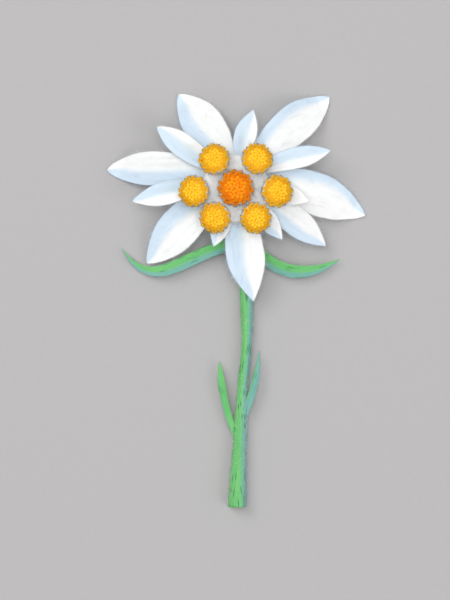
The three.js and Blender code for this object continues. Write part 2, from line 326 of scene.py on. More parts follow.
@dataclass(frozen=True)
class Felt:
    """Pressed wool: white, with a painted pale blue shade where the mesh says so."""

    name: str
    white: Colour = (0.92, 0.922, 0.92)
    blue: Colour = (0.64, 0.765, 0.885)
    hollow_shade: Colour = (0.55, 0.60, 0.64)
    tissue: Colour = (0.70, 0.76, 0.66)
    tissue_share: float = 0.35
    patchy: float = 1.0

    def material(self) -> Material:
        """Builds the finish.

        Returns:
            A material that reads the UV map and the layers SHADE and BARE.
        """
        graph = Graph(self.name, Sheen_Weight=0.25, Sheen_Roughness=0.5, Specular_IOR_Level=0.2)
        fibres = graph.noise(graph.uv(0.55, 4.2), detail=5.0, rough=0.62)
        matted = graph.noise(graph.uv(1.6, 1.9), detail=4.0, rough=0.6)
        tufts = graph.noise(graph.uv(0.35, 0.6), detail=2.0, rough=0.5)
        # painted pale blue shade, where the layer SHADE says
        colour = graph.mix(graph.attribute(Layer.SHADE), self.white, self.blue)
        patches = tufts.step(0.3, 0.75) * self.patchy + (1.0 - self.patchy)
        bare = graph.attribute(Layer.BARE) * patches * self.tissue_share
        colour = graph.mix(bare, colour, self.tissue)
        grain = fibres * 0.6 + matted * 0.4
        # painted shade: a grey darkening where the grain is low, in the hollows of the felt
        deep = (1.0 - grain.step(0.3, 0.62)) * 0.12
        colour = graph.mix(deep, colour, self.hollow_shade)
        height = fibres * 0.7 + matted * 0.6 + tufts * 0.5
        return graph.finished(colour, grain * 0.2 + 0.72, height, 0.00035, 0.55)


@dataclass(frozen=True)
class Hair:
    """Single hairs of wool, which take the colour of what they grow on, its painted blue shade too."""

    name: str
    pale: Colour = (0.94, 0.942, 0.94)
    shaded: Colour = (0.69, 0.81, 0.92)

    def material(self) -> Material:
        """Builds the finish.

        Returns:
            A material that reads the layer SHADE.
        """
        graph = Graph(self.name, Sheen_Weight=0.3, Specular_IOR_Level=0.25)
        drift = graph.noise(graph.place(), 900.0, 2.0)
        # a hair on the shaded side of its blade takes the painted blue shade
        share = graph.attribute(Layer.SHADE) * (drift * 0.5 + 0.75)
        return graph.finished(graph.mix(share, self.pale, self.shaded), 0.7)


@dataclass(frozen=True)
class Green:
    """Living green skin with painted blue-green shade on one flank, fine ridges and short dark streaks.
    """

    name: str
    green: Colour = (0.118, 0.465, 0.138)
    fresh: Colour = (0.155, 0.525, 0.155)
    # the colour of the painted shade on the shaded flank
    shade_teal: Colour = (0.150, 0.395, 0.335)
    streak: Colour = (0.030, 0.210, 0.090)
    ridge: Colour = (0.50, 0.78, 0.50)
    streaks: float = 1.0

    def material(self) -> Material:
        """Builds the finish.

        Returns:
            A material that reads the UV map and the layer FLANK.
        """
        graph = Graph(self.name, Specular_IOR_Level=0.35, Sheen_Weight=0.15, Coat_Roughness=0.5)
        ridges = graph.noise(graph.uv(0.10, 3.0), rough=0.6)
        pores = graph.noise(graph.uv(3.0, 6.0), rough=0.6)
        drift = graph.noise(graph.uv(0.09, 0.35), detail=2.0, rough=0.5)
        colour = graph.mix(drift.step(0.35, 0.7), self.green, self.fresh)
        # painted blue-green shade on the side that the layer FLANK marks as shaded
        flank = (graph.attribute(Layer.FLANK) + (ridges - 0.5) * 0.35).step(0.4, 0.62)
        colour = graph.mix(flank, colour, self.shade_teal)
        cells = graph.node(
            "ShaderNodeTexVoronoi",
            {"feature": "F1", "voronoi_dimensions": "2D"},
            {"Vector": graph.uv(0.19, 1.15), "Scale": 1.0, "Randomness": 0.95},
        )
        wander = (ridges - 0.5) * 0.12
        near = 1.0 - (Term(graph, cells.outputs["Distance"]) + wander).step(0.17, 0.25)
        chosen = Term(graph, cells.outputs["Color"]).step(0.52, 0.56)
        dash = near * chosen * self.streaks
        colour = graph.mix(dash * 0.85, colour, self.streak)
        colour = graph.mix(ridges.step(0.45, 0.8) * 0.12, colour, self.ridge)
        height = ridges + pores * 0.3 - dash * 0.4
        return graph.finished(colour, pores * 0.25 + 0.42, height, 0.00022)


@dataclass(frozen=True)
class Pollen:
    """The florets' petal tissue, with painted shade that darkens it down the throat."""

    name: str
    bright: Colour
    deep: Colour
    # the colour of painted shade: down the throat, under the buds, in their dimples, and on the dome
    throat: Colour

    def material(self) -> Material:
        """Builds the finish.

        Returns:
            A material that reads the layers SHADE and BARE.
        """
        graph = Graph(self.name, Specular_IOR_Level=0.18)
        grain = graph.noise(graph.place(), 2600.0, rough=0.6)
        tone = graph.attribute(Layer.SHADE) + (grain - 0.5) * 0.3
        colour = graph.mix(tone.step(0.1, 0.9), self.bright, self.deep)
        # painted shade where the layer BARE says
        colour = graph.mix(graph.attribute(Layer.BARE), colour, self.throat)
        return graph.finished(colour, grain * 0.25 + 0.45, grain, 0.00006, 0.5)


@dataclass(frozen=True)
class CutPith:
    """The cut end of the stem: a pale pith in a green rind."""

    name: str
    vessel: Colour = (0.70, 0.80, 0.50)
    rings: tuple[tuple[float, Colour], ...] = (
        (0.0, (0.62, 0.72, 0.42)),
        (0.5, (0.50, 0.66, 0.32)),
        (0.74, (0.22, 0.46, 0.16)),
        (1.0, (0.10, 0.36, 0.10)),
    )

    def material(self) -> Material:
        """Builds the finish.

        Returns:
            A material that reads the layer BARE as the share of the radius.
        """
        graph = Graph(self.name, Specular_IOR_Level=0.4)
        grain = graph.noise(graph.place(), 3000.0, 4.0, 0.65)
        out = graph.attribute(Layer.BARE) + (grain - 0.5) * 0.12
        where = {"Vector": graph.place(), "Scale": 1500.0}
        cells = graph.term("ShaderNodeTexVoronoi", {"feature": "F1"}, where, "Distance")
        ring = out.step(0.5, 0.62) * (1.0 - out.step(0.78, 0.86))
        vessels = (1.0 - cells.step(0.18, 0.34)) * ring
        ramp = graph.term("ShaderNodeValToRGB", {"stops": self.rings}, {0: out})
        colour = graph.mix(vessels * 0.7, ramp, self.vessel)
        return graph.finished(colour, grain * 0.3 + 0.4, grain + vessels * 0.5, 0.00015)


@dataclass(frozen=True)
class Backdrop:
    """The plain pale ground that the flower lies on."""

    name: str = "pale_ground"
    grey: Colour = (0.456, 0.446, 0.451)
    speckle: float = 0.96  # how light its darker grains are, as a share of the rest

    def material(self) -> Material:
        """Builds the finish.

        Returns:
            The material.
        """
        graph = Graph(self.name, Specular_IOR_Level=0.1)
        grain = graph.noise(graph.place(), 700.0)
        darker = tuple(part * self.speckle for part in self.grey)
        return graph.finished(graph.mix(grain, self.grey, darker), grain * 0.1 + 0.85)


# ----making pieces


def grid(along: int, across: int) -> tuple[BMesh, list[Pair]]:
    """A flat grid to be reshaped.

    Args:
        along: Cells along it.
        across: Cells across it.

    Returns:
        The mesh, and for each of its points how far along (0 to 1) and across (-1 to 1) it lies.
    """
    bm = bmesh.new()
    bmesh.ops.create_grid(bm, x_segments=along, y_segments=across, size=1.0)
    return bm, [((vert.co.x + 1) / 2, vert.co.y) for vert in bm.verts]


def number_layer(bm: BMesh, layer: Layer) -> bmesh.types.BMLayerItem:
    """The mesh's layer of numbers of that name, made if it is new."""
    layers = bm.verts.layers.float
    return layers.get(layer.value) or layers.new(layer.value)


def lay_uv(bm: BMesh, spans: Sequence[Pair]) -> None:
    """Gives a mesh its UV map.

    Args:
        bm: The mesh.
        spans: Each point's place along and across the piece, in millimetres.
    """
    uv = bm.loops.layers.uv.new("UVMap")
    bm.verts.index_update()
    for face in bm.faces:
        for loop in face.loops:
            along, across = spans[loop.vert.index]
            loop[uv].uv = (along / UV_SPAN, across / UV_SPAN + 0.5)


def wrapped(bm: BMesh, stretch: float = 1.0) -> list[Pair]:
    """Each point's stretched height and its way round the upright axis, for a UV map."""
    points = [vert.co for vert in bm.verts]
    return [(point.z * stretch, math.atan2(point.y, point.x) * WRAP) for point in points]


def kept(bm: BMesh, name: str) -> bpy.types.Mesh:
    """Turns a mesh under construction into a lasting one.

    Args:
        bm: The mesh under construction, which is used up.
        name: The lasting one's name.

    Returns:
        The lasting mesh.
    """
    mesh = bpy.data.meshes.new(name)
    bm.to_mesh(mesh)
    bm.free()
    return mesh


def added(name: str, data: bpy.types.ID) -> bpy.types.Object:
    """Adds an object to the scene.

    Args:
        name: Its name.
        data: Its mesh, light or camera.

    Returns:
        The object.
    """
    thing = bpy.data.objects.new(name, data)
    bpy.context.scene.collection.objects.link(thing)
    return thing


def as_piece(
    name: str,
    bm: BMesh,
    finishes: Sequence[Material],
    stands_for: Sequence[str] = (),
) -> bpy.types.Object:
    """Makes a mesh in millimetres round the head a piece of the flower.

    Args:
        name: The piece's name.
        bm: Its mesh, which is used up.
        finishes: Its materials.
        stands_for: The solids that it replaces.

    Returns:
        The piece.
    """
    bm.transform(Matrix.Scale(MM, 4) @ Matrix.Translation(HEAD))
    mesh = kept(bm, name)
    mesh.shade_smooth()
    for finish in finishes:
        mesh.materials.append(finish)
    piece = added(name, mesh)
    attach(piece, BODY)
    if stands_for:
        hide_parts(*stands_for)
    LOG.info("%s: %d faces", name, len(mesh.polygons))
    return piece


def smoothed(piece: bpy.types.Object) -> None:
    """Finishes a piece with one level of subdivision, the same wherever it is seen."""
    modifier = piece.modifiers.new("Smooth", "SUBSURF")
    modifier.levels = modifier.render_levels = 1


def turned(outline: Sequence[Pair], steps: int) -> BMesh:
    """Spins a half outline into a closed body.

    Args:
        outline: Radius and height of each corner, from the axis round to the axis.
        steps: Sides of the body.

    Returns:
        The mesh, about the Z axis.
    """
    bm = bmesh.new()
    corners = [bm.verts.new((radius, 0.0, height)) for radius, height in outline]
    edges = [bm.edges.new(pair) for pair in zip(corners, corners[1:])]
    bmesh.ops.spin(
        bm,
        geom=corners + edges,
        cent=(0, 0, 0),
        axis=(0, 0, 1),
        angle=math.tau,
        steps=steps,
        use_merge=True,
    )
    bmesh.ops.remove_doubles(bm, verts=bm.verts[:], dist=ONE_POINT)
    bmesh.ops.recalc_face_normals(bm, faces=bm.faces[:])
    return bm


def copies(model: bpy.types.Mesh, count: int) -> tuple[BMesh, list[list[bmesh.types.BMVert]]]:
    """Puts so many copies of a model into a new mesh.

    Args:
        model: The model, which stays as it is.
        count: How many copies are wanted.

    Returns:
        The new mesh, and the points of each copy in the model's order.
    """
    bm = bmesh.new()
    for _ in range(count):
        bm.from_mesh(model)
    verts = list(bm.verts)
    size = len(model.vertices)
    return bm, [verts[k * size : (k + 1) * size] for k in range(count)]


def poured(part: BMesh, bm: BMesh) -> None:
    """Adds one mesh under construction to another.

    Args:
        part: The mesh to be added, which is used up.
        bm: The mesh that takes it in.
    """
    model = kept(part, "poured_model")
    bm.from_mesh(model)
    bpy.data.meshes.remove(model)


def drawn_out(
    bm: BMesh, rim: Sequence[bmesh.types.BMEdge]
) -> tuple[list[bmesh.types.BMEdge], list[bmesh.types.BMFace]]:
    """Grows a band of faces from a rim, for its points to be moved.

    Args:
        bm: The mesh.
        rim: The edges to grow from.

    Returns:
        The new rim, and the faces of the band.
    """
    grown = bmesh.ops.extrude_edge_only(bm, edges=rim)["geom"]
    edges = [item for item in grown if isinstance(item, bmesh.types.BMEdge) and item.is_boundary]
    return edges, [item for item in grown if isinstance(item, bmesh.types.BMFace)]


# ----wool


@dataclass(frozen=True)
class Strand:
    """One hair: where it is rooted, which way it runs, and how it bends."""

    root: Vector
    run: Vector
    up: Vector
    length: float
    width: float
    lift: float
    curl: float
    # how much of its blade's painted blue shade the hair takes
    shade: float = 0.0

    def point(self, corner: Vector) -> Vector:
        """Where a corner of the model hair goes.

        Args:
            corner: x and y across the hair, from -1 to 1, and z along it, from 0 to 1.

        Returns:
            The point, in millimetres.
        """
        side = self.up.cross(self.run)
        rise = self.lift * self.length * math.sin(corner.z * math.pi * 0.62)
        sway = self.curl * self.length * corner.z * corner.z
        middle = self.root + self.run * (self.length * corner.z) + self.up * rise + side * sway
        thin = self.width * (1.0 - 0.55 * corner.z)
        return middle + side * (corner.x * thin) + self.up * (corner.y * thin)


@dataclass(frozen=True)
class Fleece:
    """One kind of hair: how many there are, and how long, wide, steep and curled they are."""

    count: int
    lengths: Pair
    widths: Pair
    lift: float
    curl: float

    def hair(self, rng: random.Random, root: Vector, run: Vector, up: Vector) -> Strand:
        """Draws one hair of this kind.

        Args:
            rng: The seeded draw.
            root: Where it is rooted.
            run: Which way it runs.
            up: Which way it rises.

        Returns:
            The hair.
        """
        length, width = rng.uniform(*self.lengths), rng.uniform(*self.widths)
        return Strand(root, run, up, length, width, self.lift, rng.gauss(0, self.curl))


@dataclass
class Wool:
    """A coat of hairs on one piece."""

    name: str
    slot: str
    finish: Material
    strands: list[Strand] = field(default_factory=list)
    joints: int = 2
    sides: int = 3

    def _model(self) -> bpy.types.Mesh:
        """One straight hair of unit size, closed at both ends.

        Returns:
            The hair, to be copied.
        """
        bm = bmesh.new()
        number_layer(bm, Layer.SHADE)
        bmesh.ops.create_cone(
            bm, cap_ends=True, segments=self.sides, radius1=1.0, radius2=0.35, depth=1.0
        )
        bmesh.ops.translate(bm, vec=(0, 0, 0.5), verts=bm.verts[:])
        for cut in range(1, self.joints + 1):
            bmesh.ops.bisect_plane(
                bm,
                geom=bm.verts[:] + bm.edges[:] + bm.faces[:],
                plane_co=(0, 0, cut / (self.joints + 1)),
                plane_no=(0, 0, 1),
            )
        return kept(bm, f"{self.name}_model")

    def build(self) -> None:
        """Sets every hair in its place and makes them one piece."""
        model = self._model()
        bm, groups = copies(model, len(self.strands))
        bpy.data.meshes.remove(model)
        shade = number_layer(bm, Layer.SHADE)
        for strand, verts in zip(self.strands, groups):
            for vert in verts:
                point = strand.point(vert.co)
                point.z = max(point.z, LOWEST)
                vert.co = point
                vert[shade] = strand.shade
        as_piece(self.name, bm, [self.finish])


# ----blades


@dataclass(frozen=True)
class BladeForm:
    """The form that the blades of one kind share."""

    root_share: float  # width at the root, as a share of the widest
    channel: float  # how far the margins stand above the middle
    wave: float  # height of the margins' ripples
    droop: float  # power with which it falls from the root to the tip
    arch: float  # how far its middle stands above that fall
    thick: float
    edge_share: float  # thickness of the margins, as a share of the middle's
    cells: tuple[int, int]  # of its grid, along and across
    hairs: float  # to a square millimetre of the upper face
    hair_length: float
    pleat: float  # height of the pleats
    under: float  # hairs of the lower face to a millimetre of length


OUTER = BladeForm(0.36, 0.8, 0.16, 1.7, 0.7, 0.66, 0.45, (52, 22), 8.6, 2.7, 0.07, 6.0)
INNER = BladeForm(0.36, 0.45, 0.1, 1.5, 0.1, 0.62, 0.45, (36, 14), 9.6, 2.1, 0.05, 3.0)
LEAFY = BladeForm(0.78, 0.3, 0.05, 1.3, 0.5, 0.6, 0.5, (46, 8), 2.2, 0.8, 0.03, 0.9)
LEAST_HALF = 0.05  # no blade's half width is less
LANDED = 0.9  # share of the length at which a resting tip reaches the surface
FILLED = 0.62  # share of its length times its width that a blade covers
FRINGE = 0.75  # hairs to a millimetre of margin, as a share of those to a square millimetre
MARGIN = 0.97  # share of the half width at which the hairs of the margin are rooted
SHORT_FROM = 0.96  # share of the half width beyond which hairs are short


@dataclass(frozen=True)
class Blade:
    """A bract or a leaf: a thin arched blade from its root to its tip."""

    root: Pair
    tip: Pair
    width: float
    widest: float  # share of the length at which it is widest
    bow: float  # how far it bows to the left of the way out
    hook: float  # how much more it bows towards the tip
    root_z: float
    tip_z: float
    form: BladeForm
    phase: float  # makes its ripples and lumps its own
    # where the painted shade lies: the pale blue on a bract and its hairs, the blue-green on a leaf's
    # skin
    shade_side: float  # 1 if its left side is shaded, -1 if its right, 0 if neither
    shade_from: float  # share of the half width at which the shade starts
    blunt: float = 0.85  # 1 for a pointed tip, less for a rounder one

    @property
    def resting(self) -> bool:
        """Whether the tip lies on the surface."""
        return self.tip_z < 0.5

    @property
    def length(self) -> float:
        """The straight length of the blade in plan."""
        return (Vector(self.tip) - Vector(self.root)).length

    def half_width(self, u: float) -> float:
        """Half the blade's width.

        Args:
            u: Share of the length, from 0 at the root.

        Returns:
            The half width there.
        """
        if u <= self.widest:
            share = mixed(self.form.root_share, 1.0, math.sin(math.pi / 2 * u / self.widest))
        else:
            past = math.pi / 2 * (u - self.widest) / (1 - self.widest)
            share = max(math.cos(past), 0.0) ** self.blunt
        return max(self.width / 2 * share, LEAST_HALF)

    def midrib(self, u: float) -> Vector:
        """The blade's middle line.

        Args:
            u: Share of the length, from 0 at the root.

        Returns:
            The point of the line there.
        """
        root, tip = Vector(self.root), Vector(self.tip)
        run = (tip - root).normalized()
        aside = 4 * u * (1 - u) * (self.bow + self.hook * u * u)
        reached = min(max(u, 0.0) / (LANDED if self.resting else 1.0), 1.0)
        plan = root.lerp(tip, u) + Vector((-run.y, run.x)) * aside
        height = mixed(self.root_z, self.tip_z, reached**self.form.droop)
        return Vector((plan.x, plan.y, height + self.form.arch * math.sin(math.pi * reached)))

    def taper(self, u: float) -> float:
        """The local share of the blade's full width, which small forms fade with."""
        return min(2 * self.half_width(u) / self.width, 1.0)

    def body(self, u: float, v: float) -> float:
        """The share of the thickness from the thin margin's, 0, to the middle's, 1."""
        return (1.0 - eased(0.5, 1.0, abs(v))) * eased(0.0, 0.45, self.taper(u))

    def relief(self, u: float, v: float) -> float:
        """The small forms of the upper face: the midrib's groove, pleats and lumps.

        Args:
            u: Share of the length, from 0 at the root.
            v: Share of the half width.

        Returns:
            How far the face stands above the plain form.
        """
        ends = math.sin(math.pi * min(max(u, 0.0), 1.0)) ** 0.6 * self.taper(u) ** 1.3
        across = abs(v) * self.half_width(u)
        groove = -0.22 * math.exp(-((across / 0.55) ** 2))
        pleats = self.form.pleat * math.cos(across * 3.6 + 0.6 * math.sin(6 * u + self.phase))
        spot = Vector((u * 7 + self.phase * 3, v * 2.1, self.phase))
        lumps = 0.14 * noise.noise(spot) + 0.06 * noise.noise(spot * 2.7)
        return ends * (groove + pleats + lumps)

    def point(self, u: float, v: float) -> Vector:
        """A point of the upper face.

        Args:
            u: Share of the length, from 0 at the root.
            v: Share of the half width, from -1 on the right of the way out to 1 on the left.

        Returns:
            The point, in millimetres.
        """
        here = self.midrib(u)
        way = self.midrib(u + 1e-3) - self.midrib(u - 1e-3)
        left = Vector((-way.y, way.x, 0.0)).normalized()
        edge = abs(v)
        nick = 1 + 0.018 * noise.noise(Vector((u * 16, v + 5, self.phase))) * edge
        fold = self.form.channel * max(math.sin(math.pi * u), 0.0) ** 1.5 * edge**1.4
        calm = 1 - eased(0.78, 0.95, u) if self.resting else 1.0
        calm *= self.taper(u)
        ripple = self.form.wave * edge**2 * math.sin(17 * u + 2.2 * v + self.phase) * calm
        half_thick = self.form.thick / 2
        height = here.z + fold + ripple + self.relief(u, v) * calm + half_thick
        point = here + left * (self.half_width(u) * v * nick)
        point.z = max(height, self.form.thick + 0.03)
        return point

    def frame_at(self, u: float, v: float) -> tuple[Vector, Vector, Vector]:
        """How the upper face lies at a point.

        Args:
            u: Share of the length, from 0 at the root.
            v: Share of the half width.

        Returns:
            The point, the way out along the face, and the face's normal.
        """
        here = self.point(u, v)
        run = (self.point(min(u + 0.01, 1.0), v) - self.point(max(u - 0.01, 0.0), v)).normalized()
        side = (self.point(u, v + 0.05) - self.point(u, v - 0.05)).normalized()
        return here, run, run.cross(side).normalized()

    def shade(self, u: float, v: float) -> float:
        """The painted blue shade along one margin.

        Args:
            u: Share of the length, from 0 at the root.
            v: Share of the half width.

        Returns:
            How blue the blade is there, from 0 to 1.
        """
        if not self.shade_side:
            return 0.12 * eased(0.5, 0.0, u)
        start = self.shade_from + 0.14 * eased(0.25, 0.6, u) - 0.36 * eased(0.72, 1.0, u)
        start += 0.08 * noise.noise(Vector((u * 3, self.phase, 1.7)))
        return 0.97 * eased(start - 0.07, start + 0.45, v * self.shade_side)

    def mesh(self) -> tuple[BMesh, list[Pair]]:
        """The blade's upper face, with its UV map and the numbers for its finish.

        Returns:
            The mesh, and the shares of the length and the half width at each of its points.
        """
        bm, spots = grid(*self.form.cells)
        lay_uv(bm, [(u * self.length, v * self.half_width(u)) for u, v in spots])
        shade, bare = number_layer(bm, Layer.SHADE), number_layer(bm, Layer.BARE)
        flank = number_layer(bm, Layer.FLANK)
        for vert, (u, v) in zip(bm.verts, spots):
            vert.co = self.point(u, v)
            vert[shade] = self.shade(u, v)
            vert[bare] = math.exp(-((abs(v) * 3) ** 2)) * eased(0.95, 0.5, u)
            # on a leaf, the share of its painted blue-green shade, on the side that shade_side gives
            vert[flank] = 0.5 + 0.5 * (v * self.shade_side - self.shade_from)
        return bm, spots

    def coat(self, seed: int) -> list[Strand]:
        """Hairs over both faces and out from the margins.

        Args:
            seed: Makes the draw the same each time.

        Returns:
            The hairs.
        """
        rng = random.Random(seed)
        hairs: list[Strand] = []
        for _ in range(int(self.form.hairs * self.length * self.width * FILLED)):
            u, v = rng.uniform(0.06, 0.985), rng.uniform(-MARGIN, MARGIN)
            swirl = 1.5 * noise.noise(Vector((u * 9, v * 2.2, self.phase + 4.0)))
            hairs.append(self._hair(rng, u, v, swirl + rng.gauss(0, 0.5), rng.uniform(0.0, 0.09)))
        for side in (-1, 1):
            for _ in range(int(self.form.hairs * self.length * FRINGE)):
                u = rng.uniform(0.08, 0.97)
                turn = side * rng.uniform(0.3, 1.2)
                hairs.append(self._hair(rng, u, side * MARGIN, turn, rng.uniform(-0.1, 0.12)))
        for _ in range(int(self.form.under * self.length)):
            u, v = rng.uniform(0.12, 0.9), rng.uniform(-0.9, 0.9)
            hair = self._hair(rng, u, v, rng.gauss(0, 0.7), rng.uniform(0.03, 0.2), below=True)
            if hair.root.z > 0.7:
                hairs.append(hair)
        return hairs

    def _hair(
        self, rng: random.Random, u: float, v: float, turn: float, lift: float, below: bool = False
    ) -> Strand:
        """One hair of the coat.

        Args:
            rng: The seeded draw.
            u: Its root's share of the length.
            v: Its root's share of the half width.
            turn: How far it turns to the left of the way out, in radians.
            lift: How steeply it rises.
            below: Whether it grows from the lower face.

        Returns:
            The hair.
        """
        here, run, up = self.frame_at(u, v)
        if below:
            here -= up * (self.form.thick * mixed(self.form.edge_share, 1.0, self.body(u, v)))
            up = -up
        side = up.cross(run)
        way = (run * math.cos(turn) + side * math.sin(turn)).normalized()
        length = self.form.hair_length * rng.uniform(0.4, 1.1) * (1 - 0.55 * eased(0.7, 1.0, u))
        reach = 0.45 if abs(v) > SHORT_FROM else 1.0
        return Strand(
            root=here - up * SUNK,
            run=way,
            up=up,
            length=length * reach,
            width=rng.uniform(0.016, 0.034),
            lift=lift,
            curl=rng.gauss(0, 0.33),
            shade=self.shade(u, v),
        )


@dataclass
class Star:
    """The two sets of bracts round the head."""

    felt: Material
    hair: Material
    outer_root: float = 4.4  # how far from the middle the outer bracts are rooted
    inner_root: float = 4.9
    low: float = 6.5  # height of the roots of the outer bracts that pass under others
    high: float = 7.55  # and of those that pass over them
    inner: float = 8.95  # height of the inner bracts' roots
    floor: float = 0.36  # height of a tip that lies on the surface

    def blades(self) -> dict[str, Blade]:
        """Every bract.

        Each row holds the root's and the tip's direction, the reach, the width, where it is widest,
        bow, hook, the root's height, the tip's height, the side and start of the painted blue shade, and
        how the tip ends.

        Returns:
            The blades by the names of their solids.
        """
        outer = (
            (117, 123.6, 30.6, 11.5, 0.57, -0.9, 0.7, self.low, self.floor, 1, -0.06, 0.74),
            (36, 42.5, 36.5, 11.2, 0.60, 1.5, -1.0, self.high, self.floor, 1, 0.15, 0.74),
            (5, -14.8, 38.7, 12.2, 0.58, 1.8, -0.9, self.low, self.floor, 1, 0.22, 0.82),
            (-26, -36.1, 31.8, 8.2, 0.60, 0.2, -0.2, self.high, 3.4, -1, -0.15, 0.82),
            (-82, -82.2, 35.2, 11.0, 0.56, -0.7, 0.4, self.high, 5.5, -1, -0.22, 0.95),
            (-162, -137.8, 35.5, 11.8, 0.57, -0.6, 0.8, self.low, 1.2, -1, -0.12, 0.8),
            (152, 174.9, 38.0, 9.7, 0.62, -0.8, 0.1, self.high, self.floor, 1, -0.15, 0.68),
        )
        inner = (
            (84, 77.0, 20.5, 6.3, 0.55, 0.4, -0.3, self.inner, 10.8, 1, -0.5, 0.92),
            (31, 17.6, 28.1, 6.0, 0.62, 0.5, -0.3, self.inner, 9.6, 1, -0.4, 0.86),
            (-16, -16.8, 21.4, 5.6, 0.62, 0.1, 0.1, self.inner, 10.6, 0, 0.0, 0.9),
            (-44, -53.0, 21.4, 5.6, 0.58, -0.5, 0.4, self.inner, 10.0, -1, -0.25, 0.9),
            (-122, -109.5, 20.2, 5.8, 0.58, 0.2, 0.2, self.inner, 10.3, -1, -0.3, 0.9),
            (-178, -168.6, 30.7, 6.6, 0.64, -0.2, 0.3, self.inner, 9.2, -1, -0.4, 0.86),
            (153, 146.6, 27.6, 6.8, 0.62, 0.2, -0.2, self.inner, 10.2, 1, -0.5, 0.8),
        )
        made: dict[str, Blade] = {}
        for ring, rows, radius, form, pace in (
            ("outer", outer, self.outer_root, OUTER, 1.7),
            ("inner", inner, self.inner_root, INNER, 2.3),
        ):
            for k, (start, end, reach, *sizes, side, shaded, blunt) in enumerate(rows):
                ends = polar(radius, start), polar(reach, end)
                blade = Blade(*ends, *sizes, form, pace * k, side, shaded, blunt)
                made[f"bract_{ring}_{k + 1}"] = blade
        return made

    def build(self) -> None:
        """Makes every bract and its coat of hairs."""
        for k, (name, blade) in enumerate(self.blades().items()):
            dress_blade(f"felt_{name}", name, blade, self.felt)
            hairs = blade.coat(seed=100 + k)
            Wool(f"wool_{name}", "bract_felt", self.hair, hairs).build()


def dress_blade(name: str, node: str, blade: Blade, finish: Material) -> None:
    """Makes a blade a piece with its thickness, thinner at the margins.

    Args:
        name: The piece's name.
        node: The solid that it replaces.
        blade: The blade's form.
        finish: Its material.
    """
    bm, spots = blade.mesh()
    piece = as_piece(name, bm, [finish], [node])
    group = piece.vertex_groups.new(name=Layer.THICK.value)
    for k, (u, v) in enumerate(spots):
        group.add([k], blade.body(u, v), "REPLACE")
    wall = piece.modifiers.new("Thickness", "SOLIDIFY")
    wall.thickness = blade.form.thick * MM
    wall.offset = -1.0
    wall.vertex_group = group.name
    wall.thickness_vertex_group = blade.form.edge_share
    wall.use_quality_normals = True
    smoothed(piece)


# ----stem and leaves


